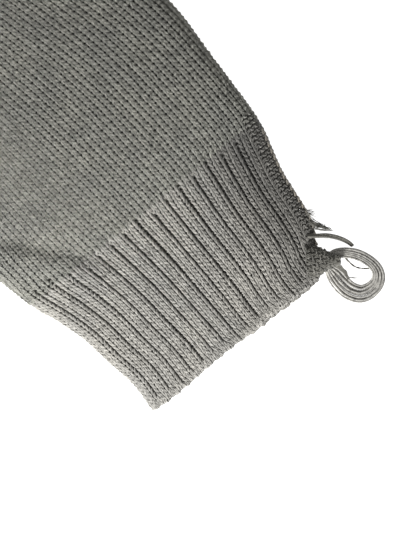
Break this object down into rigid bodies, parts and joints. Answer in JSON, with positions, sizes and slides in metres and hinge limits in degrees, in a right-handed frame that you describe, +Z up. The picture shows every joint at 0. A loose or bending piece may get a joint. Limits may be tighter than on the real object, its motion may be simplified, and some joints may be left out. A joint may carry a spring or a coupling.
{
  "type": "knitted glove",
  "caption": "Soft grey knitted glove for the left hand, with a ribbed cuff, plain knitted palm, fingers and thumb, and a small loop of spare yarn at the cuff's corner.",
  "frame": {"origin": "middle of the ribbed cuff's flat underside, on the surface the glove lies on", "axes": "+X towards the little-finger side, +Y from the cuff towards the fingertips, +Z up, out of the palm"},
  "size_m": [0.1505, 0.2478, 0.015],
  "materials": {
    "cuff_knit": "ribbed grey marl knit",
    "hand_knit": "plain grey marl knit",
    "seam_yarn": "sewn seam in the same yarn",
    "spare_yarn": "loose plied yarn"
  },
  "bodies": {
    "cuff": {"cuff_rib": "cuff_knit", "cuff_cast_on_edge": "cuff_knit", "side_seam": "seam_yarn", "hank_knot": "spare_yarn", "yarn_tail": "spare_yarn", "frayed_end": "spare_yarn"},
    "hand": {"hand_body": "hand_knit", "thumb_gusset": "hand_knit", "index_middle_join": "hand_knit", "middle_ring_join": "hand_knit", "ring_little_join": "hand_knit", "thumb_join": "hand_knit"},
    "index_finger": {"index_finger": "hand_knit", "index_tip": "hand_knit"},
    "middle_finger": {"middle_finger": "hand_knit", "middle_tip": "hand_knit"},
    "ring_finger": {"ring_finger": "hand_knit", "ring_tip": "hand_knit"},
    "little_finger": {"little_finger": "hand_knit", "little_tip": "hand_knit"},
    "thumb": {"thumb": "hand_knit", "thumb_tip": "hand_knit"},
    "hank": {"yarn_hank": "spare_yarn"}
  },
  "joints": [
    {"name": "wrist_bend", "type": "hinge", "parent": "cuff", "child": "hand", "pos_m": [0, 0.0263, 0.011], "axis": [1, 0, 0], "range_deg": [0, 70]},
    {"name": "index_bend", "type": "hinge", "parent": "hand", "child": "index_finger", "pos_m": [-0.04189, 0.1146, 0.0125], "axis": [0.9659, 0.2588, 0], "range_deg": [0, 85]},
    {"name": "middle_bend", "type": "hinge", "parent": "hand", "child": "middle_finger", "pos_m": [-0.01753, 0.12284, 0.0125], "axis": [0.9744, 0.225, 0], "range_deg": [0, 85]},
    {"name": "ring_bend", "type": "hinge", "parent": "hand", "child": "ring_finger", "pos_m": [0.00783, 0.12517, 0.0125], "axis": [0.9816, 0.1908, 0], "range_deg": [0, 85]},
    {"name": "little_bend", "type": "hinge", "parent": "hand", "child": "little_finger", "pos_m": [0.03314, 0.1193, 0.0125], "axis": [0.9903, 0.1392, 0], "range_deg": [0, 85]},
    {"name": "thumb_bend", "type": "hinge", "parent": "hand", "child": "thumb", "pos_m": [-0.06295, 0.07847, 0.013], "axis": [0.8643, 0.503, 0], "range_deg": [0, 70]},
    {"name": "hank_swing", "type": "hinge", "parent": "cuff", "child": "hank", "pos_m": [0.0389, -0.0269, 0.0055], "axis": [-0.9278, -0.373, 0], "range_deg": [0, 90]}
  ]
}
